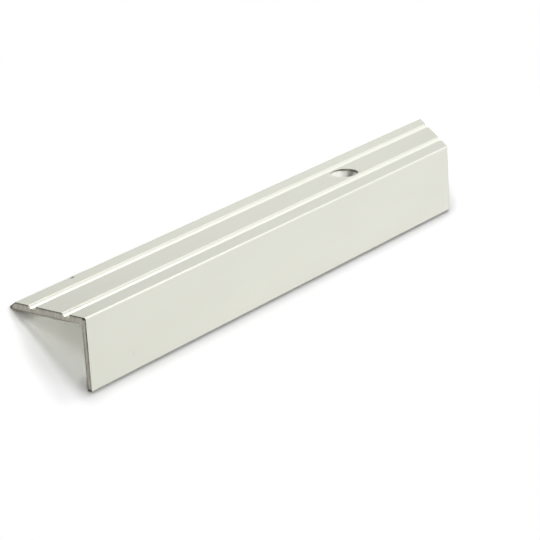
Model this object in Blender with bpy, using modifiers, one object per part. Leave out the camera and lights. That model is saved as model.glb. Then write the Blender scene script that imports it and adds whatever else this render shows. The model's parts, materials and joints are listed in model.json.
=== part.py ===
"""Stair nosing: one length of extruded angle, sawn square at one end and mitred at the other.

It is drawn as it sits on a stair, with the tread leg level and the riser leg upright, and then laid down
as it comes to rest on a floor: on the riser leg's foot and the tread leg's tip, with the nose on top.
"""

import math

import bmesh
import bpy
from mathutils import Matrix, Vector

# Driving dimensions, in metres and degrees
NOSE_LENGTH = 0.165
TREAD_DEPTH = 0.026
RISER_HEIGHT = 0.020
TREAD_THICKNESS = 0.00215
RISER_THICKNESS = 0.00145
NOSE_RADIUS = 0.00045
INNER_FILLET = 0.0005
FOOT_ROUND = 0.0003
MITRE = 41.5

# The tread leg's back edge: a steep bevel on top, a rounded tip, and a long easy curve below
BEVEL_WIDTH = 0.00195
TIP_RADIUS = 0.00035
TIP_HEIGHT = 0.0006
UNDERCUT_RADIUS = 0.0085

# The screw hole, how far its line lies behind the middle of the tread leg's flat, and the two grooves that
# run along either side of its countersink
HOLE_TO_SQUARE_END = 0.1288
HOLE_DIAMETER = 0.0050
COUNTERSINK_DIAMETER = 0.0081
COUNTERSINK_ANGLE = 90.0
COUNTERSINK_SET_DOWN = 0.0005
SCREW_LINE_BACK = 0.000125
GROOVE_WIDTH = 0.00275
GROOVE_DEPTH = 0.00095
GROOVE_SHOULDER = 0.00015
RIM_TO_GROOVE = 0.0003

# Steps to each round, and how far a cutter runs past what it cuts
CORNER_STEPS = 12
GROOVE_STEPS = 20
UNDERCUT_STEPS = 10
HOLE_STEPS = 72
CUT_PAST = 0.001
WELD_DISTANCE = 1e-6

# Satin anodised aluminium
METAL_COLOUR = (0.70, 0.70, 0.66, 1.0)
METAL_ROUGHNESS = 0.38

# The underside's height, the screw line's place across the tread leg, and the grooves' centres off it
UNDERSIDE = RISER_HEIGHT - TREAD_THICKNESS
SCREW_LINE = (NOSE_RADIUS + TREAD_DEPTH - BEVEL_WIDTH) / 2 + SCREW_LINE_BACK
GROOVE_OFFSET = (COUNTERSINK_DIAMETER + GROOVE_WIDTH) / 2 + RIM_TO_GROOVE


def arc(centre, radius, start, end, steps):
    """The points of an arc, from its start bearing to its end bearing in degrees."""
    bearings = [math.radians(start + (end - start) * step / steps) for step in range(steps + 1)]
    return [Vector((centre[0] + radius * math.cos(b), centre[1] + radius * math.sin(b))) for b in bearings]


def groove(centre):
    """A round-bottomed groove with eased shoulders, from its riser side to its far side."""
    half = GROOVE_WIDTH / 2
    radius = (half**2 + GROOVE_DEPTH**2) / (2 * GROOVE_DEPTH)
    # Each shoulder's circle lies under the tread's face and touches the groove's circle from outside
    rise = radius - GROOVE_DEPTH + GROOVE_SHOULDER
    reach = math.sqrt((radius + GROOVE_SHOULDER) ** 2 - rise**2)
    lean = math.degrees(math.atan2(rise, reach))
    level = RISER_HEIGHT - GROOVE_SHOULDER
    floor_centre = (centre, RISER_HEIGHT - GROOVE_DEPTH + radius)
    near = arc((centre - reach, level), GROOVE_SHOULDER, 90, lean, CORNER_STEPS // 2)
    floor = arc(floor_centre, radius, 180 + lean, 360 - lean, GROOVE_STEPS)
    far = arc((centre + reach, level), GROOVE_SHOULDER, 180 - lean, 90, CORNER_STEPS // 2)
    return near + floor[1:-1] + far


def tip_edge():
    """The tread leg's back edge, from the top of its bevel round the tip and along the undercut."""
    bevel_top = Vector((TREAD_DEPTH - BEVEL_WIDTH, RISER_HEIGHT))
    centre = Vector((TREAD_DEPTH - TIP_RADIUS, UNDERSIDE + TIP_HEIGHT))
    to_centre = centre - bevel_top
    # The bevel runs from its top edge until it just touches the tip's circle
    bevel = math.atan2(to_centre.y, to_centre.x) + math.asin(TIP_RADIUS / to_centre.length)
    # The undercut's circle holds the tip's circle and touches the flat underside
    below = UNDERSIDE + UNDERCUT_RADIUS - centre.y
    reach = math.sqrt((UNDERCUT_RADIUS - TIP_RADIUS) ** 2 - below**2)
    joint = math.degrees(math.atan2(-below, reach))
    undercut_centre = (centre.x - reach, UNDERSIDE + UNDERCUT_RADIUS)
    upper = arc(centre, TIP_RADIUS, 90 + math.degrees(bevel), 0, CORNER_STEPS)
    lower = arc(centre, TIP_RADIUS, 0, joint, CORNER_STEPS)
    undercut = arc(undercut_centre, UNDERCUT_RADIUS, joint, -90, UNDERCUT_STEPS)
    return [bevel_top] + upper + lower[1:] + undercut[1:]


def foot_edge():
    """The rounded inner corner of the riser leg's foot."""
    return arc((RISER_THICKNESS - FOOT_ROUND, FOOT_ROUND), FOOT_ROUND, 0, -90, CORNER_STEPS)


def section():
    """The whole outline, with the riser leg's outer face at 0 across and its foot at 0 up."""
    fillet_centre = (RISER_THICKNESS + INNER_FILLET, UNDERSIDE - INNER_FILLET)
    outline = arc((FOOT_ROUND, FOOT_ROUND), FOOT_ROUND, 270, 180, CORNER_STEPS)
    outline += arc((NOSE_RADIUS, RISER_HEIGHT - NOSE_RADIUS), NOSE_RADIUS, 180, 90, CORNER_STEPS)
    outline += groove(SCREW_LINE - GROOVE_OFFSET)
    outline += groove(SCREW_LINE + GROOVE_OFFSET)
    outline += tip_edge()
    outline += arc(fillet_centre, INNER_FILLET, 90, 180, CORNER_STEPS)
    outline += foot_edge()
    return outline


def bearing(start, end):
    return math.atan2(end.y - start.y, end.x - start.x)


def resting_tilt():
    """How far the piece tips back on a floor until its tip touches: the slope of the line under foot and tip."""
    return max(min(bearing(foot, tip) for tip in tip_edge()) for foot in foot_edge())


def clear_scene():
    for old in list(bpy.data.objects):
        bpy.data.objects.remove(old, do_unlink=True)


def new_collection(name):
    made = bpy.data.collections.new(name)
    bpy.context.scene.collection.children.link(made)
    return made


def move_to(thing, collection):
    for old in list(thing.users_collection):
        old.objects.unlink(thing)
    collection.objects.link(thing)


def satin_metal():
    material = bpy.data.materials.new("satin_anodised_aluminium")
    material.use_nodes = True
    shader = material.node_tree.nodes["Principled BSDF"]
    shader.inputs["Base Color"].default_value = METAL_COLOUR
    shader.inputs["Metallic"].default_value = 1.0
    shader.inputs["Roughness"].default_value = METAL_ROUGHNESS
    return material


def extruded_blank(name, collection):
    """The section drawn as a filled curve and run out to the blank's length, as one welded mesh."""
    length = NOSE_LENGTH + TREAD_DEPTH * math.tan(math.radians(MITRE)) + CUT_PAST
    outline = section()
    drawing = bpy.data.curves.new(name + "_section", "CURVE")
    drawing.dimensions = "2D"
    drawing.fill_mode = "BOTH"
    drawing.extrude = length / 2
    spline = drawing.splines.new("POLY")
    spline.points.add(len(outline) - 1)
    for point, place in zip(spline.points, outline):
        point.co = (place.x, place.y, 0, 1)
    spline.use_cyclic_u = True
    drawn = bpy.data.objects.new(name + "_drawing", drawing)
    collection.objects.link(drawn)
    # The drawing's own x and y become across and up, and its depth becomes the length
    drawn.rotation_euler = (math.pi / 2, 0, math.pi / 2)
    drawn.location.x = length / 2
    bpy.context.view_layer.update()
    evaluated = drawn.evaluated_get(bpy.context.evaluated_depsgraph_get())
    mesh = bpy.data.meshes.new_from_object(evaluated)
    work = bmesh.new()
    work.from_mesh(mesh)
    bmesh.ops.remove_doubles(work, verts=work.verts, dist=WELD_DISTANCE)
    bmesh.ops.recalc_face_normals(work, faces=work.faces)
    work.to_mesh(mesh)
    work.free()
    blank = bpy.data.objects.new(name, mesh)
    blank.matrix_world = drawn.matrix_world
    collection.objects.link(blank)
    bpy.data.objects.remove(drawn)
    return blank


def mitre_saw(collection):
    """A block whose near side is the mitre's plane: upright, and through the nose at its full length."""
    size = 2 * (TREAD_DEPTH + RISER_HEIGHT)
    bpy.ops.mesh.primitive_cube_add(size=size)
    saw = bpy.context.active_object
    saw.name = "mitre_saw"
    turn = Matrix.Rotation(math.radians(-MITRE), 4, "Z")
    place = Matrix.Translation((NOSE_LENGTH, 0, RISER_HEIGHT / 2))
    saw.data.transform(place @ turn @ Matrix.Translation((size / 2, 0, 0)))
    move_to(saw, collection)
    return saw


def countersink_drill(collection):
    """The hole as one turned shape: a short straight wall at the rim, then the cone, then the drilled hole."""
    drill_radius = HOLE_DIAMETER / 2
    rim_radius = COUNTERSINK_DIAMETER / 2
    cone_top = RISER_HEIGHT - COUNTERSINK_SET_DOWN
    cone_depth = (rim_radius - drill_radius) / math.tan(math.radians(COUNTERSINK_ANGLE / 2))
    profile = [
        (0, RISER_HEIGHT + CUT_PAST),
        (rim_radius, RISER_HEIGHT + CUT_PAST),
        (rim_radius, cone_top),
        (drill_radius, cone_top - cone_depth),
        (drill_radius, UNDERSIDE - CUT_PAST),
        (0, UNDERSIDE - CUT_PAST),
    ]
    mesh = bpy.data.meshes.new("countersink_drill")
    edges = [(first, first + 1) for first in range(len(profile) - 1)]
    mesh.from_pydata([(radius, 0, height) for radius, height in profile], edges, [])
    drill = bpy.data.objects.new("countersink_drill", mesh)
    collection.objects.link(drill)
    drill.location = (HOLE_TO_SQUARE_END, SCREW_LINE, 0)
    turned = drill.modifiers.new("turned", "SCREW")
    turned.steps = HOLE_STEPS
    turned.render_steps = HOLE_STEPS
    turned.use_merge_vertices = True
    turned.merge_threshold = WELD_DISTANCE
    return drill


def cut(piece, cutter, label):
    removal = piece.modifiers.new(label, "BOOLEAN")
    removal.operation = "DIFFERENCE"
    removal.solver = "EXACT"
    removal.object = cutter


def resting_place():
    """The tilt that the piece rests at, then the shift that puts its base's centre at the origin."""
    tilt = Matrix.Rotation(-resting_tilt(), 4, "X")
    corners = [tilt @ Vector((0, point.x, point.y)) for point in section()]
    across = [corner.y for corner in corners]
    longest = NOSE_LENGTH + TREAD_DEPTH * math.tan(math.radians(MITRE))
    middle = (max(across) + min(across)) / 2
    shift = Vector((-longest / 2, -middle, -min(corner.z for corner in corners)))
    return Matrix.Translation(shift) @ tilt


def main():
    clear_scene()
    nosing = new_collection("stair_nosing")
    cutters = new_collection("cutters")
    cutters.hide_render = True

    piece = extruded_blank("nosing_profile", nosing)
    piece.data.materials.append(satin_metal())
    saw = mitre_saw(cutters)
    drill = countersink_drill(cutters)
    cut(piece, saw, "mitred_end")
    cut(piece, drill, "screw_hole")

    rest = bpy.data.objects.new("resting_place", None)
    nosing.objects.link(rest)
    rest.matrix_world = resting_place()
    piece.parent = rest
    for cutter in (saw, drill):
        cutter.parent = rest
        cutter.hide_render = True
        cutter.display_type = "WIRE"
    bpy.context.view_layer.update()
    print("resting tilt", round(math.degrees(resting_tilt()), 2), "degrees")


main()
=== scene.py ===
# %% [markdown]
# # A stair nosing in satin anodised aluminium
# A stair nosing is the metal angle that covers the front edge of a step. The wide leg lies on
# the tread, with two grooves for grip, and the thin leg hangs down over the riser. The real
# one is a single length of aluminium extrusion: pressed through a die, anodised, sawn square at
# one end, mitred at the other, and drilled for a countersunk screw.
#
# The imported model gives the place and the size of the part. This lesson builds the same shape
# again with finer edges and finishes, in the same place. The first thing to keep is the box
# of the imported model, because nothing that is built here may leave it.

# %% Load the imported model
import json
import math

import bmesh
import bpy
from mathutils import Matrix, Vector, noise


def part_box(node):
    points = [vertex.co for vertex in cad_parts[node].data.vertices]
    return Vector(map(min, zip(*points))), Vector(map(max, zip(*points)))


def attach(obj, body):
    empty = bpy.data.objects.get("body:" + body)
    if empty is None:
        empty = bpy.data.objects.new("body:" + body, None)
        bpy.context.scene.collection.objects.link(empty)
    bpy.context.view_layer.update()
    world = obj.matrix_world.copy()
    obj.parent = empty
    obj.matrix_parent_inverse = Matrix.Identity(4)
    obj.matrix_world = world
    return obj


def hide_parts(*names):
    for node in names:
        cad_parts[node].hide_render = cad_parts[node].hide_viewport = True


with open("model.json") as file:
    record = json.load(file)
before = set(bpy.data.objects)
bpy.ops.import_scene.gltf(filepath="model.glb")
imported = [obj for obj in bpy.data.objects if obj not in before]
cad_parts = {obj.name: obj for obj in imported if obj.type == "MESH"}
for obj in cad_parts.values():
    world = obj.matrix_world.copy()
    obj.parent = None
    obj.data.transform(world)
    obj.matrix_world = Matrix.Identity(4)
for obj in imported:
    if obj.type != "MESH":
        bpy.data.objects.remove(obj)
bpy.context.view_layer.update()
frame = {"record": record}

# %% [markdown]
# ## The sizes
# An extruded section is easiest to think about the way it is used on the stairs: the wide leg
# level, the thin leg upright. So every size below belongs to that position, with X along the
# length from the square end, Y across from the riser leg's outer face, and Z up from its foot.
# Only at the end is the finished piece turned to the way it lies on the floor. Sizes are in
# metres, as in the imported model.

# %% Name the sizes
NOSE_LENGTH = 0.165
MITRE = math.radians(41.5)
TREAD_DEPTH = 0.026
TREAD_THICKNESS = 0.00215
RISER_HEIGHT = 0.020
RISER_THICKNESS = 0.00145
UNDERSIDE = RISER_HEIGHT - TREAD_THICKNESS

NOSE_RADIUS = 0.00045
INNER_FILLET = 0.0005
FOOT_ROUND = 0.0003

BEVEL_WIDTH = 0.00195
BACK_EDGE_ROUND = 0.00015
TIP_RADIUS = 0.00035
TIP_HEIGHT = 0.0006
UNDERCUT_RADIUS = 0.0085

HOLE_TO_SQUARE_END = 0.1288
HOLE_RADIUS = 0.0025
RIM_RADIUS = 0.00405
RIM_WALL = 0.0005
SCREW_LINE_BACK = 0.000125
SCREW_LINE = (NOSE_RADIUS + TREAD_DEPTH - BEVEL_WIDTH) / 2 + SCREW_LINE_BACK

GROOVE_WIDTH = 0.00275
GROOVE_DEPTH = 0.00095
GROOVE_SHOULDER = 0.00015
RIM_TO_GROOVE = 0.0003
GROOVE_OFFSET = RIM_RADIUS + GROOVE_WIDTH / 2 + RIM_TO_GROOVE

print("screw line", round(SCREW_LINE * 1000, 2), "mm from the riser's face; grooves",
      round(GROOVE_OFFSET * 1000, 2), "mm to each side of it")

# %% [markdown]
# ## A pen for the section
# A draughtsman draws such a section with straight strokes and arcs. The pen here is one vertex
# of a bmesh: extruding it and moving the copy gives a straight stroke, and spinning it round a
# centre gives an arc. That keeps every corner a true arc with as many steps as it needs, which
# a bevelled polygon would only come near.

# %% Make the pen
def stroke(sheet, pen, across, up):
    drawn = bmesh.ops.extrude_vert_indiv(sheet, verts=[pen])
    end = drawn["verts"][0]
    bmesh.ops.translate(sheet, verts=[end], vec=Vector((0, across, up)) - pen.co)
    return end


def arc(sheet, pen, centre, radius, start, end, steps):
    """Draws up to the arc's first point and then round it. Bearings are in degrees."""
    bearing = math.radians(start)
    across = centre[0] + radius * math.cos(bearing)
    up = centre[1] + radius * math.sin(bearing)
    if (pen.co - Vector((0, across, up))).length > WELD:
        pen = stroke(sheet, pen, across, up)
    spun = bmesh.ops.spin(
        sheet, geom=[pen], cent=(0, *centre), axis=(1, 0, 0),
        angle=math.radians(end - start), steps=steps, use_merge=False, use_duplicate=False,
    )
    return spun["geom_last"][0]


WELD = 1e-6
print("the pen joins points that are closer than", WELD * 1000, "mm")

# %% [markdown]
# ## The grooves and the back edge
# Each groove is a round-bottomed channel with a small rounded shoulder on both sides, so the
# three arcs have to touch each other without a kink. The back edge is a bevel that runs into a
# small round tip, and under the tip a wide, shallow undercut keeps the edge tight on the
# floor covering. The centres of such touching arcs follow from right-angled triangles.

# %% Work out the touching arcs
ARC_STEPS = 12
SHOULDER_STEPS = 4
GROOVE_STEPS = 28
UNDERCUT_STEPS = 10


def groove_arcs(middle):
    half = GROOVE_WIDTH / 2
    radius = (half**2 + GROOVE_DEPTH**2) / (2 * GROOVE_DEPTH)
    rise = radius - GROOVE_DEPTH + GROOVE_SHOULDER
    reach = math.sqrt((radius + GROOVE_SHOULDER) ** 2 - rise**2)
    lean = math.degrees(math.atan2(rise, reach))
    level = RISER_HEIGHT - GROOVE_SHOULDER
    floor_centre = (middle, RISER_HEIGHT - GROOVE_DEPTH + radius)
    return reach, [
        ((middle - reach, level), GROOVE_SHOULDER, 90, lean, SHOULDER_STEPS),
        (floor_centre, radius, 180 + lean, 360 - lean, GROOVE_STEPS),
        ((middle + reach, level), GROOVE_SHOULDER, 180 - lean, 90, SHOULDER_STEPS),
    ]


def tip_arcs():
    bevel_top = Vector((TREAD_DEPTH - BEVEL_WIDTH, RISER_HEIGHT))
    centre = Vector((TREAD_DEPTH - TIP_RADIUS, UNDERSIDE + TIP_HEIGHT))
    to_centre = centre - bevel_top
    bevel = math.atan2(to_centre.y, to_centre.x) + math.asin(TIP_RADIUS / to_centre.length)
    below = UNDERSIDE + UNDERCUT_RADIUS - centre.y
    reach = math.sqrt((UNDERCUT_RADIUS - TIP_RADIUS) ** 2 - below**2)
    joint = math.degrees(math.atan2(-below, reach))
    undercut_centre = (centre.x - reach, UNDERSIDE + UNDERCUT_RADIUS)
    edge_centre = bevel_top - Vector((BACK_EDGE_ROUND * math.tan(-bevel / 2), BACK_EDGE_ROUND))
    slope = 90 + math.degrees(bevel)
    return [
        (edge_centre, BACK_EDGE_ROUND, 90, slope, SHOULDER_STEPS),
        (centre, TIP_RADIUS, slope, joint, ARC_STEPS),
        (undercut_centre, UNDERCUT_RADIUS, joint, -90, UNDERCUT_STEPS),
    ]


groove_reach, front_groove = groove_arcs(SCREW_LINE - GROOVE_OFFSET)
back_groove = groove_arcs(SCREW_LINE + GROOVE_OFFSET)[1]
flat_half = GROOVE_OFFSET - groove_reach
print("flat between the grooves:", round(flat_half * 2000, 2), "mm wide")

# %% [markdown]
# ## Draw the section
# The arcs go round the outline in order: foot, nose, two grooves, back edge, inner fillet and
# foot again. Closing the line and filling it gives one flat face.

# %% Draw and fill
OUTLINE = [
    ((FOOT_ROUND, FOOT_ROUND), FOOT_ROUND, 270, 180, ARC_STEPS),
    ((NOSE_RADIUS, RISER_HEIGHT - NOSE_RADIUS), NOSE_RADIUS, 180, 90, ARC_STEPS),
    *front_groove,
    *back_groove,
    *tip_arcs(),
    ((RISER_THICKNESS + INNER_FILLET, UNDERSIDE - INNER_FILLET), INNER_FILLET, 90, 180, ARC_STEPS),
    ((RISER_THICKNESS - FOOT_ROUND, FOOT_ROUND), FOOT_ROUND, 0, -90, ARC_STEPS),
]

nosing = bmesh.new()
pen = bmesh.ops.create_vert(nosing, co=(0, FOOT_ROUND, 0))["vert"][0]
for centre, radius, start, end, steps in OUTLINE:
    pen = arc(nosing, pen, centre, radius, start, end, steps)
stroke(nosing, pen, FOOT_ROUND, 0)
bmesh.ops.remove_doubles(nosing, verts=nosing.verts, dist=WELD)
bmesh.ops.edgeloop_fill(nosing, edges=nosing.edges)
section = nosing.faces[:][0]
print("section:", len(section.verts), "corners,", round(section.calc_area() * 1e6, 1), "mm2")

# %% [markdown]
# ## Press the length and saw the mitre
# On the real piece the section is pushed out as a long bar and cut up afterwards, and the mesh is
# made in the same order. The face is extruded to a bar that is a little too long. Bisect then
# works as the saw: it cuts the bar along the mitre's plane and throws the far side away. The
# open end is filled with a new flat face.

# %% Extrude and mitre
MITRE_NORMAL = Vector((math.cos(MITRE), -math.sin(MITRE), 0))
NOSE_END = Vector((NOSE_LENGTH, 0, 0))
BAR_LENGTH = NOSE_LENGTH + TREAD_DEPTH


def cut_across(bar, point, normal, **clear):
    everything = bar.verts[:] + bar.edges[:] + bar.faces[:]
    cut = bmesh.ops.bisect_plane(
        bar, geom=everything, dist=WELD, plane_co=point, plane_no=normal, **clear
    )
    return [part for part in cut["geom_cut"] if isinstance(part, bmesh.types.BMEdge)]


pressed = bmesh.ops.extrude_face_region(nosing, geom=[section], use_keep_orig=True)
far_corners = [part for part in pressed["geom"] if isinstance(part, bmesh.types.BMVert)]
bmesh.ops.translate(nosing, verts=far_corners, vec=(BAR_LENGTH, 0, 0))
sawn_loop = cut_across(nosing, NOSE_END, MITRE_NORMAL, clear_outer=True)
bmesh.ops.edgeloop_fill(nosing, edges=sawn_loop)
bmesh.ops.recalc_face_normals(nosing, faces=nosing.faces)
print("length along the back edge:", round(max(v.co.x for v in nosing.verts) * 1000, 2), "mm")

# %% [markdown]
# ## Loops that hold the ends and the hole
# A few extra cuts across the bar keep later work local. One lies just inside each sawn end, so
# that the fine teeth of the sawn edge don't run down the whole bar as slivers. Two more frame
# the square of metal round the screw hole, on top between the grooves. The underside has no
# grooves, so there two short cuts across the same stretch close the square.

# %% Cut the holding loops
END_STRIP = 0.0008
HOLE_CENTRE = Vector((HOLE_TO_SQUARE_END, SCREW_LINE, RISER_HEIGHT))
ALONG = Vector((1, 0, 0))
ACROSS = Vector((0, 1, 0))


def cut_faces(bar, faces, point, normal):
    parts = {part for face in faces for part in face.verts[:] + face.edges[:] + [face]}
    bmesh.ops.bisect_plane(bar, geom=list(parts), dist=WELD, plane_co=point, plane_no=normal)


def under_hole(bar):
    """The faces of the flat underside that lie along the hole's stretch of the bar."""
    return [
        face for face in bar.faces
        if all(abs(v.co.z - UNDERSIDE) < WELD and abs(v.co.x - HOLE_CENTRE.x) < flat_half + WELD
               for v in face.verts)
    ]


cut_across(nosing, ALONG * END_STRIP, ALONG)
cut_across(nosing, NOSE_END - MITRE_NORMAL * END_STRIP, MITRE_NORMAL)
for side in (-flat_half, flat_half):
    cut_across(nosing, HOLE_CENTRE + ALONG * side, ALONG)
for side in (-flat_half, flat_half):
    cut_faces(nosing, under_hole(nosing), HOLE_CENTRE + ACROSS * side, ACROSS)
print("faces after the holding loops:", len(nosing.faces))

# %% [markdown]
# ## The countersunk hole
# The drill leaves a hole with a 90 degree cone above it, and on this piece the tool went in
# half a millimetre deeper than the cone, so a short upright wall stands under the rim. A
# Boolean would do it, but bridging gives cleaner faces: a square is opened in the top and in the
# underside, the profile of the drill is spun into a sleeve, and the sleeve's two rims are bridged to
# the two squares. Both squares get as many corners as the sleeve has steps, so that every
# face of the bridge has four sides. Bridging looks for the way from one loop to the other, and two
# loops in one plane round one centre have none, so each rim is held a millimetre higher while it
# is bridged. The printed area shows that the bridge went round the hole and not across it.

# %% Open, spin and bridge
HOLE_STEPS = 96
QUARTER = HOLE_STEPS // 4
HELD_APART = 0.001


def face_at(bar, point):
    return min(bar.faces, key=lambda face: (face.calc_center_median() - point).length)


def open_square(bar, point):
    """Deletes the square face round the point and gives back its subdivided border."""
    square = face_at(bar, point)
    border = square.edges[:]
    bmesh.ops.delete(bar, geom=[square], context="FACES_ONLY")
    divided = bmesh.ops.subdivide_edges(bar, edges=border, cuts=QUARTER - 1)
    border = {part for part in divided["geom_inner"] + divided["geom_split"]
              if isinstance(part, bmesh.types.BMEdge)}
    return [edge for edge in border if len(edge.link_faces) == 1]


top_border = open_square(nosing, HOLE_CENTRE)
under_border = open_square(nosing, HOLE_CENTRE - Vector((0, 0, TREAD_THICKNESS)))

cone_depth = RIM_RADIUS - HOLE_RADIUS
sleeve_profile = [
    (RIM_RADIUS, RISER_HEIGHT),
    (RIM_RADIUS, RISER_HEIGHT - RIM_WALL),
    (HOLE_RADIUS, RISER_HEIGHT - RIM_WALL - cone_depth),
    (HOLE_RADIUS, UNDERSIDE),
]
top_point = HOLE_CENTRE + ACROSS * RIM_RADIUS
profile = bmesh.ops.create_vert(nosing, co=top_point)["vert"]
for radius, up in sleeve_profile[1:]:
    drawn = bmesh.ops.extrude_vert_indiv(nosing, verts=[profile[-1]])
    profile += drawn["verts"]
    bmesh.ops.translate(
        nosing, verts=drawn["verts"],
        vec=Vector((HOLE_TO_SQUARE_END, SCREW_LINE + radius, up)) - profile[-1].co,
    )
profile_edges = {edge for vert in profile for edge in vert.link_edges}
bmesh.ops.spin(
    nosing, geom=profile + list(profile_edges), cent=HOLE_CENTRE, axis=(0, 0, 1),
    angle=math.tau, steps=HOLE_STEPS, use_merge=True, use_duplicate=False,
)


def from_hole_axis(co):
    return math.hypot(co.x - HOLE_CENTRE.x, co.y - HOLE_CENTRE.y)


def ring(bar, radius, up):
    """The edges of the circle of that radius at that height round the hole."""
    return [
        edge for edge in bar.edges
        if all(abs(from_hole_axis(v.co) - radius) < WELD and abs(v.co.z - up) < WELD
               for v in edge.verts)
    ]


for border, (radius, up) in ((top_border, sleeve_profile[0]), (under_border, sleeve_profile[-1])):
    round_edges = ring(nosing, radius, up)
    round_points = list({v for edge in round_edges for v in edge.verts})
    bmesh.ops.translate(nosing, verts=round_points, vec=(0, 0, HELD_APART))
    bridge = bmesh.ops.bridge_loops(nosing, edges=border + round_edges)
    bmesh.ops.translate(nosing, verts=round_points, vec=(0, 0, -HELD_APART))
    for face in bridge["faces"]:
        face.normal_update()
    area = sum(face.calc_area() for face in bridge["faces"]) * 1e6
    print("bridge of", len(bridge["faces"]), "faces,", round(area, 2), "mm2 at", round(up * 1000, 2), "mm")
bmesh.ops.recalc_face_normals(nosing, faces=nosing.faces)

# %% [markdown]
# ## Break the rim and the exit edge
# A turned rim is never a perfect knife edge: the tool leaves a hair-thin chamfer that catches
# the light. Bevel makes it on the rim, and on the edge where the drill came out underneath.

# %% Bevel the rings
RIM_BREAK = 0.00003

for radius, up in (sleeve_profile[0], sleeve_profile[-1]):
    broken = bmesh.ops.bevel(
        nosing, geom=ring(nosing, radius, up), offset=RIM_BREAK, offset_type="OFFSET",
        segments=2, profile=0.5, affect="EDGES", material=-1,
    )
    print("ring bevelled with", len(broken["faces"]), "faces")

# %% [markdown]
# ## The sawn ends
# A saw leaves an end that is flat but not neat: its edge is broken and slightly torn, and the
# sawn finish paints a line of shade along it. The long edges of each end are first divided
# finely, because a torn edge needs points that can move. They are then bevelled, and the flat is
# inset once, so that the painted shade at the edge can fade out towards the middle. Smooth noise
# from Blender's own mathutils moves the points, and noise without a seed of its own is the same
# on every run. They move along the bar only, so that the section keeps its size.

# %% Divide, break and tear the edges
TOOTH = 0.0003
EDGE_BREAK = 0.00005
EDGE_SHADE_INSET = 0.00006
TEAR = 0.00007
TEAR_SIZE = 0.0006

ENDS = ((Vector((0, 0, 0)), -ALONG), (NOSE_END, MITRE_NORMAL))


def on_end(co, point, normal, depth=WELD):
    return (co - point).dot(normal) > -depth


def sawn_flat(bar, point, normal):
    return max(
        (face for face in bar.faces if all(on_end(v.co, point, normal) for v in face.verts)),
        key=lambda face: face.calc_area(),
    )


def divide_border(bar, flat):
    for edge in flat.edges[:]:
        teeth = math.ceil(edge.calc_length() / TOOTH)
        if teeth > 1:
            bmesh.ops.subdivide_edges(bar, edges=[edge], cuts=teeth - 1)


for point, normal in ENDS:
    divide_border(nosing, sawn_flat(nosing, point, normal))
    flat = sawn_flat(nosing, point, normal)
    bmesh.ops.bevel(
        nosing, geom=flat.edges[:], offset=EDGE_BREAK, offset_type="OFFSET",
        segments=2, profile=0.5, affect="EDGES", material=-1,
    )
    flat = sawn_flat(nosing, point, normal)
    bmesh.ops.inset_region(nosing, faces=[flat], thickness=EDGE_SHADE_INSET, use_even_offset=True)
    border = {v for face in nosing.faces for v in face.verts
              if on_end(v.co, point, normal, EDGE_BREAK * 1.5)} - set(flat.verts)
    for vert in border:
        tear = (noise.noise(vert.co / TEAR_SIZE) + 1) / 2 * TEAR
        bmesh.ops.translate(nosing, verts=[vert], vec=-ALONG * math.copysign(tear, normal.x))
    print("sawn end with", len(flat.verts), "points round its flat and", len(border), "torn")

# %% [markdown]
# ## A knock in the back edge
# The photographed piece has one small dark nick in the tread's back edge, near the square end.
# A nick is a local thing, so only the faces that meet in that edge are cut: across, to fence
# off a short stretch, and along, to fence off a narrow one. Then the fenced points of the edge
# are pushed in, deepest in the middle.

# %% Fence off and push in
NICK_AT = 0.0214
NICK_HALF = 0.0006
NICK_WIDTH = 0.0004
NICK_DEPTH = 0.00026
NICK_CUTS = 8

BACK_EDGE = Vector((0, TREAD_DEPTH - BEVEL_WIDTH, RISER_HEIGHT))
INTO_METAL = Vector((0, -0.6, -0.8))


def on_back_edge(co):
    return ((co - BACK_EDGE) * (ACROSS + Vector((0, 0, 1)))).length < BACK_EDGE_ROUND


def nick_faces(bar):
    """The faces along the back edge that reach into the nick's stretch."""
    return [
        face for face in bar.faces
        if sum(on_back_edge(v.co) for v in face.verts) > 1
        and min(v.co.x for v in face.verts) < NICK_AT + NICK_HALF - WELD
        and max(v.co.x for v in face.verts) > NICK_AT - NICK_HALF + WELD
    ]


for step in range(NICK_CUTS + 1):
    along = NICK_AT + NICK_HALF * (2 * step / NICK_CUTS - 1)
    cut_faces(nosing, nick_faces(nosing), ALONG * along, ALONG)
for fence in (ACROSS, Vector((0, 0, 1))):
    cut_faces(nosing, nick_faces(nosing), BACK_EDGE - fence * NICK_WIDTH, fence)
pushed = [v for v in nosing.verts
          if on_back_edge(v.co) and abs(v.co.x - NICK_AT) < NICK_HALF - WELD]
for vert in pushed:
    off_middle = (vert.co.x - NICK_AT) / NICK_HALF
    push = NICK_DEPTH * (1 - off_middle**2) ** 2
    bmesh.ops.translate(nosing, verts=[vert], vec=INTO_METAL * push)
print("nick:", len(pushed), "points pushed in by up to", NICK_DEPTH * 1000, "mm")

# %% [markdown]
# ## Lay it down
# On the stairs the piece is screwed down, but on a floor nothing holds it: stood on its thin leg
# it falls over, so it is kept the way it comes to rest, on the riser leg's foot and the tread
# leg's tip, like a tent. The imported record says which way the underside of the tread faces
# there, and that gives the tilt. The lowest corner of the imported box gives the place.

# %% Turn to the resting position
underside = next(m for m in frame["record"]["mounts"] if m["name"] == "tread_underside")
tilt = math.atan2(underside["axis"][1], -underside["axis"][2])
turn = Matrix.Rotation(tilt, 4, "X")
bmesh.ops.transform(nosing, matrix=turn, verts=nosing.verts)

packed_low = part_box("nosing_profile")[0]
lowest = Vector([min(v.co[axis] for v in nosing.verts) for axis in range(3)])
to_floor = Matrix.Translation(Vector(packed_low) - lowest)
bmesh.ops.transform(nosing, matrix=to_floor, verts=nosing.verts)
rest = to_floor @ turn
print("tilt", round(math.degrees(tilt), 2), "degrees")

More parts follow.
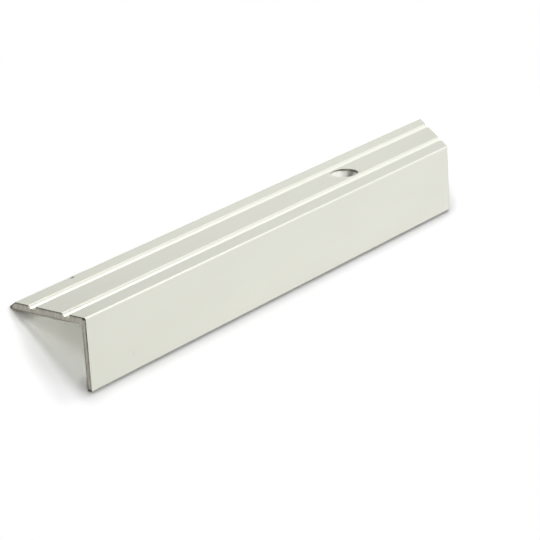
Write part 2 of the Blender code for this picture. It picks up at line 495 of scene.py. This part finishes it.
# %% [markdown]
# ## Three surfaces and the normals
# The metal shows three surfaces: anodised skin, raw sawn ends, and the turned
# countersink. Each face gets the number of its surface's material slot. The arcs are shaded
# smooth and real corners are marked sharp. Weighted normals then keep the wide
# flats truly flat next to the small arcs, which matters on metal, where every bend of a
# normal shows in the reflections.

# %% Sort the faces and make the object
ANODISED, SAWN, TURNED = range(3)
SHARP_ANGLE = math.radians(35)
back_to_use = rest.inverted()


def surface_of(face):
    middle = back_to_use @ face.calc_center_median()
    if any(on_end(middle, point, normal, EDGE_BREAK + TEAR / 2) for point, normal in ENDS):
        return SAWN
    if from_hole_axis(middle) < RIM_RADIUS + RIM_BREAK / 4 and middle.z > UNDERSIDE - RIM_BREAK:
        return TURNED
    return ANODISED


for face in nosing.faces:
    face.smooth = True
    face.material_index = surface_of(face)
for edge in nosing.edges:
    edge.smooth = edge.calc_face_angle(0) < SHARP_ANGLE

nosing_mesh = bpy.data.meshes.new("nosing_piece")
nosing.to_mesh(nosing_mesh)
piece = bpy.data.objects.new("nosing_piece", nosing_mesh)
bpy.context.scene.collection.objects.link(piece)
weighted = piece.modifiers.new("flat_flats", "WEIGHTED_NORMAL")
weighted.keep_sharp = True
weighted.weight = 100
counts = [sum(f.material_index == slot for f in nosing.faces) for slot in range(3)]
print("faces per surface:", counts)

# %% [markdown]
# ## Coordinates that follow the bar
# Die lines run along the bar, saw marks stand upright on its ends, and the rings lie round the
# hole. All three are easy to describe in the position of use, so a Mapping node turns the
# object's own coordinates back to it. Such coordinates stay with the piece wherever it goes.

# %% Helpers for the node trees
class Finish:
    """A material with short ways to add and join its nodes."""

    def __init__(self, name):
        self.material = bpy.data.materials.new(name)
        self.material.use_nodes = True
        self.tree = self.material.node_tree
        self.shader = self.tree.nodes["Principled BSDF"]

    def add(self, kind, settings=None, **inputs):
        node = self.tree.nodes.new("ShaderNode" + kind)
        for setting, value in (settings or {}).items():
            setattr(node, setting, value)
        for name, value in inputs.items():
            self.join(value, node.inputs[name.replace("_", " ")])
        return node

    def join(self, value, socket):
        if isinstance(value, bpy.types.NodeSocket):
            self.tree.links.new(value, socket)
        else:
            socket.default_value = value

    def math(self, operation, *values, clamp=False):
        node = self.add("Math", {"operation": operation, "use_clamp": clamp})
        for value, socket in zip(values, node.inputs):
            self.join(value, socket)
        return node.outputs[0]

    def spread(self, value, low, high, to_low=0.0, to_high=1.0):
        """Stretches low to high over to_low to to_high, and holds what lies outside."""
        node = self.add("MapRange", {"clamp": True})
        for given, socket in zip((value, low, high, to_low, to_high), node.inputs):
            self.join(given, socket)
        return node.outputs[0]

    def blend(self, factor, first, second):
        node = self.add("Mix", {"data_type": "RGBA"})
        self.join(factor, node.inputs[0])
        self.join(first, node.inputs[6])
        self.join(second, node.inputs[7])
        return node.outputs[2]

    def on_bar(self, stretch=(1, 1, 1), origin=(0, 0, 0)):
        """The position of use in metres, from that origin, stretched by so much each way."""
        own = self.add("TexCoord").outputs["Object"]
        turned = self.add("Mapping", Vector=own, Rotation=back_to_use.to_euler(),
                          Location=back_to_use.translation - Vector(origin))
        return self.add("Mapping", Vector=turned.outputs[0], Scale=stretch).outputs[0]

    def noise(self, vector, detail=2.0, roughness=0.5, scale=1.0):
        return self.add("TexNoise", Vector=vector, Scale=scale, Detail=detail,
                        Roughness=roughness).outputs[0]

    def emboss(self, height, distance, normal=None, strength=1.0):
        bump = self.add("Bump", Height=height, Distance=distance, Strength=strength)
        if normal is not None:
            self.join(normal, bump.inputs["Normal"])
        return bump.outputs[0]

    def grey(self, value, tint):
        """The tint times the value."""
        node = self.add("VectorMath", {"operation": "SCALE"})
        self.join(tint, node.inputs[0])
        self.join(value, node.inputs["Scale"])
        return node.outputs[0]


print("use coordinates start", [round(c * 1000, 1) for c in rest.translation], "mm from the origin")

# %% [markdown]
# ## Satin anodised skin
# Anodising grows a clear, hard oxide on etched aluminium. The etch gives a fine, even grain that
# scatters reflections to a satin sheen, and under it the die has left faint lines along the
# bar. So the colour is one soft silver with a touch of warmth, and the work is done by three
# kinds of noise: long thin lines, fine grain, and slow clouds, which steer roughness and bump
# far more than they steer the colour. A few small dark marks lie where the photograph shows
# them. The darkest is painted shade in the hollow of the nick in the back edge, where the
# knock has also broken the skin.

# %% Make the anodised skin
SILVER = (0.630, 0.633, 0.559)
LINE_STRETCH = (7, 4200, 4200)
GRAIN_SCALE = 11000
CLOUD_STRETCH = (0.35, 1, 1)
CLOUD_SCALE = 70
LINE_RELIEF = 0.0000022
GRAIN_RELIEF = 0.0000015
MARK_AND_SHADE_COLOUR = (0.05, 0.05, 0.035, 1)
MARK_GRAIN_SCALE = 6000

# Place on the bar in mm, radius in mm, and how dark.
MARKS_AND_NICK_SHADE = [
    # painted shade in the hollow of the nick, where the knock also broke the skin
    ((21.3, 23.6, 19.9), 0.90, 0.92),
    ((32.9, 21.5, 20.0), 0.40, 0.12),
    ((118.9, 12.7, 20.0), 0.50, 0.16),
    ((121.2, 13.2, 20.0), 0.55, 0.06),
    ((122.6, 13.4, 20.0), 0.55, 0.07),
    ((122.3, 10.1, 20.0), 0.60, 0.12),
    ((2.4, 19.4, 19.8), 0.28, 0.14),
    ((2.9, 19.1, 19.6), 0.25, 0.12),
    ((23.5, 19.0, 19.5), 0.40, 0.08),
    ((3.0, 7.9, 19.7), 0.32, 0.16),
    ((4.8, 7.9, 19.7), 0.45, 0.10),
    ((5.6, 7.9, 19.7), 0.45, 0.10),
    ((6.4, 7.9, 19.7), 0.45, 0.09),
    ((16.9, 0.0, 4.7), 0.50, 0.08),
    ((5.5, 0.0, 6.9), 0.45, 0.06),
    ((40.5, 0.0, 0.8), 0.35, 0.12),
]


def darkened_by_marks_and_nick_shade(finish, colour):
    place = finish.on_bar()
    ragged = finish.noise(finish.on_bar(), scale=MARK_GRAIN_SCALE)
    for (x, y, z), radius, dark in MARKS_AND_NICK_SHADE:
        away = finish.add("VectorMath", {"operation": "DISTANCE"})
        finish.join(place, away.inputs[0])
        finish.join((x / 1000, y / 1000, z / 1000), away.inputs[1])
        uneven = finish.math("MULTIPLY", away.outputs["Value"],
                             finish.spread(ragged, 0.3, 0.7, 0.75, 1.3))
        inside = finish.spread(uneven, radius / 2000, radius / 1000, dark, 0)
        colour = finish.blend(inside, colour, MARK_AND_SHADE_COLOUR)
    return colour


anodised = Finish("satin_anodised")
lines = anodised.noise(anodised.on_bar(LINE_STRETCH), detail=3, roughness=0.6)
grain = anodised.noise(anodised.on_bar(), scale=GRAIN_SCALE, detail=2)
clouds = anodised.noise(anodised.on_bar(CLOUD_STRETCH), scale=CLOUD_SCALE, detail=2)

line_tone = anodised.spread(lines, 0.3, 0.7, 0.985, 1.015)
cloud_tone = anodised.spread(clouds, 0.3, 0.7, -0.012, 0.012)
skin = anodised.grey(anodised.math("ADD", line_tone, cloud_tone), SILVER)
anodised.join(darkened_by_marks_and_nick_shade(anodised, skin), anodised.shader.inputs["Base Color"])
anodised.join(1.0, anodised.shader.inputs["Metallic"])
line_roughness = anodised.spread(lines, 0.3, 0.7, 0.34, 0.42)
grain_roughness = anodised.spread(grain, 0.3, 0.7, -0.02, 0.03)
roughness = anodised.math("ADD", line_roughness, grain_roughness)
anodised.join(roughness, anodised.shader.inputs["Roughness"])
relief = anodised.emboss(lines, LINE_RELIEF)
relief = anodised.emboss(grain, GRAIN_RELIEF, relief)
anodised.join(relief, anodised.shader.inputs["Normal"])
print("anodised skin:", len(anodised.tree.nodes), "nodes")

# %% [markdown]
# ## Raw sawn ends
# The saw cuts through the skin to grey metal and leaves soft upright streaks on it. Painted shade
# lies along the edges of the section: on the top, the bevel and the tip, down the riser's face and
# under its foot, along the inner faces, and it is thickest at the nose. The streaks are noise that
# is squeezed across the bar and drawn out upwards. The lines of painted shade follow from the
# distance to each edge, and an attribute on the mesh, which is 1 on the torn edge and 0 on the
# flat, adds a hair line of it all round. At the mitred end the painted shade is kept faint.

# %% Make the sawn finish
LINE = 0.0005
PAINTED_EDGE_SHADE = (0.04, 0.037, 0.026, 1)
BARE_DARK = (0.24, 0.23, 0.195, 1)
BARE_LIGHT = (0.38, 0.368, 0.32, 1)
STREAK_STRETCH = (1000, 1900, 330)
SCRATCH_STRETCH = (3000, 7000, 700)
STREAK_RELIEF = 0.000012
SCRATCH_RELIEF = 0.000004
NOSE_SHADE = Vector((0.0005, 0.0197))
NOSE_SHADE_TALL = 2
NOSE_SHADE_INNER, NOSE_SHADE_OUTER = 0.0006, 0.0010

# 1 on the torn edge and 0 on the flat: a hair line of painted shade round the sawn ends
torn_edge_shade = nosing_mesh.attributes.new("torn_edge_shade", "FLOAT", "POINT")
flats = [max((f for f in nosing_mesh.polygons if on_end(back_to_use @ f.center, *end)),
             key=lambda f: f.area) for end in ENDS]
unshaded = {index for flat in flats for index in flat.vertices}
for vertex in nosing_mesh.vertices:
    torn_edge_shade.data[vertex.index].value = 0.0 if vertex.index in unshaded else 1.0

sawn = Finish("raw_sawn")
streaks = sawn.noise(sawn.on_bar(STREAK_STRETCH), detail=2)
scratches = sawn.noise(sawn.on_bar(SCRATCH_STRETCH), detail=2)
mixed = sawn.math("ADD", sawn.math("MULTIPLY", streaks, 0.7), sawn.math("MULTIPLY", scratches, 0.3))
bare = sawn.blend(sawn.spread(mixed, 0.36, 0.64), BARE_DARK, BARE_LIGHT)

place = sawn.add("SeparateXYZ", Vector=sawn.on_bar())
along, across, up = (place.outputs[axis] for axis in "XYZ")
slope = math.radians(tip_arcs()[1][2])
above_bevel = sawn.add("VectorMath", {"operation": "DOT_PRODUCT"})
sawn.join(sawn.on_bar(origin=BACK_EDGE), above_bevel.inputs[0])
sawn.join((0, math.cos(slope), math.sin(slope)), above_bevel.inputs[1])
from_corner = sawn.add("VectorMath", {"operation": "DISTANCE"})
sawn.join(sawn.on_bar((0, 1, NOSE_SHADE_TALL)), from_corner.inputs[0])
sawn.join((0, NOSE_SHADE.x, NOSE_SHADE_TALL * NOSE_SHADE.y), from_corner.inputs[1])

# painted shade along the top, the bevel, the tip, the riser's faces, the foot and the underside
outer = sawn.math("MAXIMUM",
                  sawn.spread(up, RISER_HEIGHT - LINE, RISER_HEIGHT - LINE / 3, 0.0, 0.9),
                  sawn.spread(above_bevel.outputs["Value"], -LINE, -LINE / 3, 0.0, 0.9))
tip = sawn.spread(across, TREAD_DEPTH - 2.5 * LINE, TREAD_DEPTH - LINE, 0.0, 0.9)
face = sawn.math("MULTIPLY", sawn.spread(across, LINE, LINE / 3, 0.0, 0.9),
                 sawn.spread(up, 0.3 * RISER_HEIGHT, 0.55 * RISER_HEIGHT, 0.25, 1.0))
inside = sawn.math("MULTIPLY",
                   sawn.spread(across, RISER_THICKNESS - LINE, RISER_THICKNESS, 0.0, 0.7),
                   sawn.spread(up, UNDERSIDE, UNDERSIDE - LINE))
foot = sawn.spread(up, 2 * LINE, LINE / 2, 0.0, 0.95)
under = sawn.math("MULTIPLY",
                  sawn.spread(up, UNDERSIDE + LINE, UNDERSIDE + LINE / 3, 0.0, 0.6),
                  sawn.spread(across, 3 * RISER_THICKNESS, 4 * RISER_THICKNESS))
torn = sawn.add("Attribute", {"attribute_name": "torn_edge_shade"}).outputs["Fac"]
edge_shade = sawn.math("MULTIPLY", torn, 0.3)
for more in (outer, tip, face, inside, foot, under):
    edge_shade = sawn.math("MAXIMUM", edge_shade, more)
ragged = sawn.noise(sawn.on_bar((1000, 1000, 1000)), scale=1.6, detail=2)
edge_shade = sawn.math("MULTIPLY", edge_shade, sawn.spread(ragged, 0.35, 0.6, 0.65, 1.0))
ragged_away = sawn.math("MULTIPLY", from_corner.outputs["Value"],
                        sawn.spread(ragged, 0.3, 0.7, 0.7, 1.3))
edge_shade = sawn.math("MAXIMUM", edge_shade, sawn.spread(ragged_away, NOSE_SHADE_OUTER, NOSE_SHADE_INNER))
edge_shade = sawn.math("MULTIPLY", edge_shade, sawn.spread(along, 0.001, 0.002, 1.0, 0.15))
# the painted shade of the edges laid over the bare sawn metal
sawn.join(sawn.blend(edge_shade, bare, PAINTED_EDGE_SHADE), sawn.shader.inputs["Base Color"])
sawn.join(0.85, sawn.shader.inputs["Metallic"])
sawn.join(sawn.spread(scratches, 0.3, 0.7, 0.48, 0.62), sawn.shader.inputs["Roughness"])
relief = sawn.emboss(streaks, STREAK_RELIEF)
relief = sawn.emboss(scratches, SCRATCH_RELIEF, relief)
sawn.join(relief, sawn.shader.inputs["Normal"])
print("sawn finish:", len(unshaded), "clean points round the flats")

# %% [markdown]
# ## The turned countersink
# A countersink bit leaves bright bare metal with fine rings round the hole, and chatter makes
# some wedges of it duller. The distance from the hole's axis drives the rings, so they stay
# round at any size, and the direction from the axis drives the wedges. A painted band of shade
# lies across the cone. On the side towards the nose, painted shade darkens the short wall above
# the cone and the cone just under that wall.

# %% Make the turned finish
WALL_EDGE = 0.00002
RINGS_PER_METRE = 14000.0
WEDGES = 46.0
TURNED_RELIEF = 0.000003
TURNED_DULL = (0.66, 0.655, 0.60, 1)
TURNED_BRIGHT = (0.72, 0.71, 0.65, 1)
WALL_SHADE_COLOUR = (0.16, 0.16, 0.125, 1)
SHADED_SIDE = (0.62, -0.78, 0)
SHADE_REACH, SHADE_SHARE = 0.00035, 0.7

# Where the painted band of shade across the cone lies and how far it reaches, in shares of the rim's
# radius, and how dark.
SHADE_BAND_AT, SHADE_BAND_HALF, SHADE_BAND_DARK = 0.2, 0.5, 0.4

turned = Finish("turned_metal")
from_axis = turned.on_bar((1, 1, 0), (HOLE_CENTRE.x, HOLE_CENTRE.y, 0))
radius_node = turned.add("VectorMath", {"operation": "LENGTH"})
turned.join(from_axis, radius_node.inputs[0])
rings = turned.add("TexNoise", {"noise_dimensions": "1D"},
                   W=turned.math("MULTIPLY", radius_node.outputs["Value"], RINGS_PER_METRE),
                   Detail=2.0).outputs[0]
wedges = turned.add("TexGradient", {"gradient_type": "RADIAL"}, Vector=from_axis).outputs["Fac"]
chatter = turned.add("TexNoise", {"noise_dimensions": "1D"},
                     W=turned.math("MULTIPLY", wedges, WEDGES), Detail=1.0).outputs[0]
bright = turned.blend(turned.spread(chatter, 0.35, 0.65), TURNED_DULL, TURNED_BRIGHT)

height = turned.add("SeparateXYZ", Vector=turned.on_bar()).outputs["Z"]
cone_top = RISER_HEIGHT - RIM_WALL
# painted shade on the short wall above the cone, on the side towards the nose
shaded_wall = turned.spread(height, cone_top - WALL_EDGE, cone_top + WALL_EDGE)
lip = turned.spread(height, RISER_HEIGHT - RIM_BREAK - WALL_EDGE, RISER_HEIGHT - RIM_BREAK, 1.0, 0.0)
across_node = turned.add("VectorMath", {"operation": "DOT_PRODUCT"})
turned.join(from_axis, across_node.inputs[0])
turned.join(SHADED_SIDE, across_node.inputs[1])
across = turned.math("DIVIDE", across_node.outputs["Value"], RIM_RADIUS)
on_shaded_side = turned.spread(across, -0.9, -0.2)
for part in (lip, on_shaded_side):
    shaded_wall = turned.math("MULTIPLY", shaded_wall, part)
# a painted band of shade across the cone
from_shade_band = turned.math("ABSOLUTE", turned.math("SUBTRACT", across, SHADE_BAND_AT))
shade_band = turned.spread(from_shade_band, SHADE_BAND_HALF / 4, SHADE_BAND_HALF, 1.0 - SHADE_BAND_DARK, 1.0)
cone = turned.grey(shade_band, bright)
# painted shade on the cone just under that wall, on the same side
shade_under_wall = turned.math("MULTIPLY",
                         turned.spread(height, cone_top - SHADE_REACH, cone_top - SHADE_REACH / 3),
                         turned.spread(across, -0.3, 0.0, 0.0, SHADE_SHARE))
wall_shade = turned.math("MAXIMUM", shaded_wall, shade_under_wall)
turned.join(turned.blend(wall_shade, cone, WALL_SHADE_COLOUR), turned.shader.inputs["Base Color"])
turned.join(1.0, turned.shader.inputs["Metallic"])
turned.join(turned.spread(chatter, 0.3, 0.7, 0.38, 0.44), turned.shader.inputs["Roughness"])
relief = turned.emboss(rings, TURNED_RELIEF)
relief = turned.emboss(chatter, TURNED_RELIEF, relief)
turned.join(relief, turned.shader.inputs["Normal"])
print("turned finish:", len(turned.tree.nodes), "nodes")

# %% Give the finishes to the piece
for finish in (anodised, sawn, turned):
    nosing_mesh.materials.append(finish.material)
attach(piece, "root")
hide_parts("nosing_profile")
print("finishes on the piece:", [m.name for m in nosing_mesh.materials])

# %% [markdown]
# ## Floor and backdrop
# Such parts are photographed on white paper that runs up behind them. A large disc stands for the
# paper. Near the piece it is matt white, so that it takes the piece's shadow, and further out it
# turns into pure white, so that the far edge can't be seen. The Light Path node tells what
# kind of ray asks. The camera and reflections see a white world, while the light that the world
# sheds on matt surfaces is set on its own. They also see the paper lighter than it is for the
# light that it throws back, so the paper comes out white without more light on the piece. An
# ambient occlusion node deepens the thin line of shade where the metal touches the paper.

# %% Make the floor and the world
FLOOR_RADIUS = 4.0
WORLD_LIGHT = 0.14
PAPER = 0.92
PAPER_GAIN = 0.95
CONTACT_REACH = 0.0035
CONTACT_POWER = 0.7
FADE_FROM, FADE_TO = 0.11, 0.16
FADE_SHAPE = (1.0, 1.8, 1.0)


def seen_directly(tree):
    path = tree.nodes.new("ShaderNodeLightPath")
    seen = path.outputs["Is Camera Ray"]
    for name in ("Is Glossy Ray", "Is Transmission Ray"):
        either = tree.nodes.new("ShaderNodeMath")
        either.operation = "MAXIMUM"
        tree.links.new(seen, either.inputs[0])
        tree.links.new(path.outputs[name], either.inputs[1])
        seen = either.outputs[0]
    return seen


disc = bmesh.new()
bmesh.ops.create_circle(disc, cap_ends=True, segments=96, radius=FLOOR_RADIUS)
floor_mesh = bpy.data.meshes.new("paper_floor")
disc.to_mesh(floor_mesh)
floor = bpy.data.objects.new("paper_floor", floor_mesh)
bpy.context.scene.collection.objects.link(floor)

paper = Finish("white_paper")
seen = seen_directly(paper.tree)
open_sky = paper.add("AmbientOcclusion", {"samples": 8}, Distance=CONTACT_REACH).outputs["AO"]
contact = paper.math("POWER", open_sky, CONTACT_POWER)
shade = paper.spread(seen, 0.0, 1.0, 1.0, contact)
paper.join(paper.math("MULTIPLY", shade, PAPER), paper.shader.inputs["Base Color"])
paper.join(1.0, paper.shader.inputs["Roughness"])
paper.join(0.0, paper.shader.inputs["Specular IOR Level"])
distance = paper.add("VectorMath", {"operation": "LENGTH"})
spot = paper.add("Mapping", Vector=paper.add("TexCoord").outputs["Object"], Scale=FADE_SHAPE)
paper.join(spot.outputs[0], distance.inputs[0])
far = paper.math("MULTIPLY", seen, paper.spread(distance.outputs["Value"], FADE_FROM, FADE_TO))
extra = paper.math("MULTIPLY", seen, PAPER_GAIN)
gain = paper.add("BsdfDiffuse", Color=paper.math("MULTIPLY", extra, contact))
brighter = paper.add("AddShader")
paper.join(paper.shader.outputs[0], brighter.inputs[0])
paper.join(gain.outputs[0], brighter.inputs[1])
backdrop = paper.add("MixShader", Fac=far)
paper.join(brighter.outputs[0], backdrop.inputs[1])
paper.join(paper.add("Emission", Strength=1.0).outputs[0], backdrop.inputs[2])
paper.join(backdrop.outputs[0], paper.tree.nodes["Material Output"].inputs["Surface"])
floor_mesh.materials.append(paper.material)

world = bpy.data.worlds.new("white_room")
bpy.context.scene.world = world
world.use_nodes = True
sky = world.node_tree.nodes["Background"]
seen = seen_directly(world.node_tree)
strength = world.node_tree.nodes.new("ShaderNodeMapRange")
world.node_tree.links.new(seen, strength.inputs[0])
strength.inputs[3].default_value = WORLD_LIGHT
sky.inputs["Color"].default_value = (1, 1, 1, 1)
world.node_tree.links.new(strength.outputs[0], sky.inputs["Strength"])
print("floor radius", FLOOR_RADIUS, "m, world light", WORLD_LIGHT)

# %% [markdown]
# ## Softboxes
# Metal shows what stands round it, so small parts are lit by softboxes from several sides and not
# by one strong lamp. The three at the back light the tread leg and the grooves and throw the short
# shadow in front of the foot. The ones to the right and in front light the nose and the riser
# leg. One low down at the left lights the sawn end, and as it lies so low, it adds little to the
# paper between the legs. A dark card at the back, which only reflections can see, makes the
# tread leg darker towards its near end, as in the photograph.

# %% Place the lamps
NEUTRAL, COOL = (1.0, 1.0, 1.0), (0.93, 0.93, 1.0)

# Name: bearing from +X towards +Y and height, both in degrees, distance, side, watts and tint.
SOFTBOXES = {
    "back_left_softbox": (150, 42, 0.6, 0.25, 0.30, NEUTRAL),
    "back_softbox": (90, 47, 0.6, 0.15, 0.68, NEUTRAL),
    "back_right_softbox": (50, 48, 0.6, 0.25, 0.77, NEUTRAL),
    "end_softbox": (15, 24, 0.6, 0.35, 0.22, COOL),
    "right_softbox": (0, 38, 0.9, 0.50, 0.20, COOL),
    "front_softbox": (320, 38, 0.9, 0.50, 0.84, COOL),
    "low_front_softbox": (320, 10, 0.9, 0.50, 0.22, COOL),
    "low_left_softbox": (185, 6, 0.6, 0.12, 1.31, NEUTRAL),
}
CARD_BEARINGS = (58, 135)
CARD_DISTANCE = 0.75
CARD_HEIGHT = 0.9


def polar(bearing, height, distance):
    turn, rise = math.radians(bearing), math.radians(height)
    level = distance * math.cos(rise)
    return Vector((level * math.cos(turn), level * math.sin(turn), distance * math.sin(rise)))


def softbox(name, place, side, watts, tint):
    light = bpy.data.lights.new(name, "AREA")
    light.shape = "SQUARE"
    light.size = side
    light.energy = watts
    light.color = tint
    lamp = bpy.data.objects.new(name, light)
    bpy.context.scene.collection.objects.link(lamp)
    lamp.location = place
    lamp.rotation_euler = (-place).to_track_quat("-Z", "Y").to_euler()
    lamp.visible_camera = False


def dark_card(name, bearings, distance, height):
    """An upright card that covers those bearings from the floor up, seen by reflections only."""
    middle, reach = sum(bearings) / 2, abs(bearings[1] - bearings[0]) / 2
    width = 2 * distance * math.tan(math.radians(reach))
    sheet = bmesh.new()
    bmesh.ops.create_grid(sheet, x_segments=1, y_segments=1, size=0.5)
    bmesh.ops.scale(sheet, vec=(width, height, 1), verts=sheet.verts)
    away = polar(middle, 0, distance)
    facing = (-away).to_track_quat("Z", "Y").to_matrix().to_4x4()
    place = Matrix.Translation(away + Vector((0, 0, height / 2)))
    bmesh.ops.transform(sheet, matrix=place @ facing, verts=sheet.verts)
    mesh = bpy.data.meshes.new(name)
    sheet.to_mesh(mesh)
    black = Finish("black_card")
    black.join((0.02, 0.02, 0.02, 1), black.shader.inputs["Base Color"])
    black.join(1.0, black.shader.inputs["Roughness"])
    mesh.materials.append(black.material)
    card = bpy.data.objects.new(name, mesh)
    bpy.context.scene.collection.objects.link(card)
    for ray in ("camera", "diffuse", "transmission", "volume_scatter", "shadow"):
        setattr(card, "visible_" + ray, False)


for name, (bearing, height, distance, side, watts, tint) in SOFTBOXES.items():
    softbox(name, polar(bearing, height, distance), side, watts, tint)
dark_card("back_left_card", CARD_BEARINGS, CARD_DISTANCE, CARD_HEIGHT)
print(len(SOFTBOXES), "softboxes and a dark card")

# %% [markdown]
# ## The camera
# The photograph was taken with a long lens from the left, a little above the piece, as its
# edges show when a camera is fitted to them. The numbers describe that camera in the position of
# use, as an orbit round a point on the bar. The resting position's matrix then carries it along,
# so that the picture shows the piece exactly as in the photograph.

# %% Place the camera
AZIMUTH = math.radians(51.6759)
ELEVATION = math.radians(19.5237)
ROLL = math.radians(-3.4649)
DISTANCE = 0.67506
AIM = Vector((0.088062, 0.010, 0.003152))
LENS = 159.70

backwards = Vector((
    -math.sin(AZIMUTH) * math.cos(ELEVATION),
    -math.cos(AZIMUTH) * math.cos(ELEVATION),
    math.sin(ELEVATION),
))
looking = (-backwards).to_track_quat("-Z", "Y").to_matrix().to_4x4()
in_use = Matrix.Translation(AIM + backwards * DISTANCE) @ looking @ Matrix.Rotation(ROLL, 4, "Z")
camera = bpy.data.objects.new("camera", bpy.data.cameras.new("camera"))
camera.data.lens = LENS
camera.data.clip_start = 0.01
camera.matrix_world = rest @ in_use
bpy.context.scene.collection.objects.link(camera)
bpy.context.scene.camera = camera
bpy.context.scene.view_settings.view_transform = "Standard"
print("camera at", [round(c, 3) for c in camera.location], "m")

# %% [markdown]
# ## Update the scene
# The last line brings the scene up to date.

# %% Update the scene
bpy.context.view_layer.update()
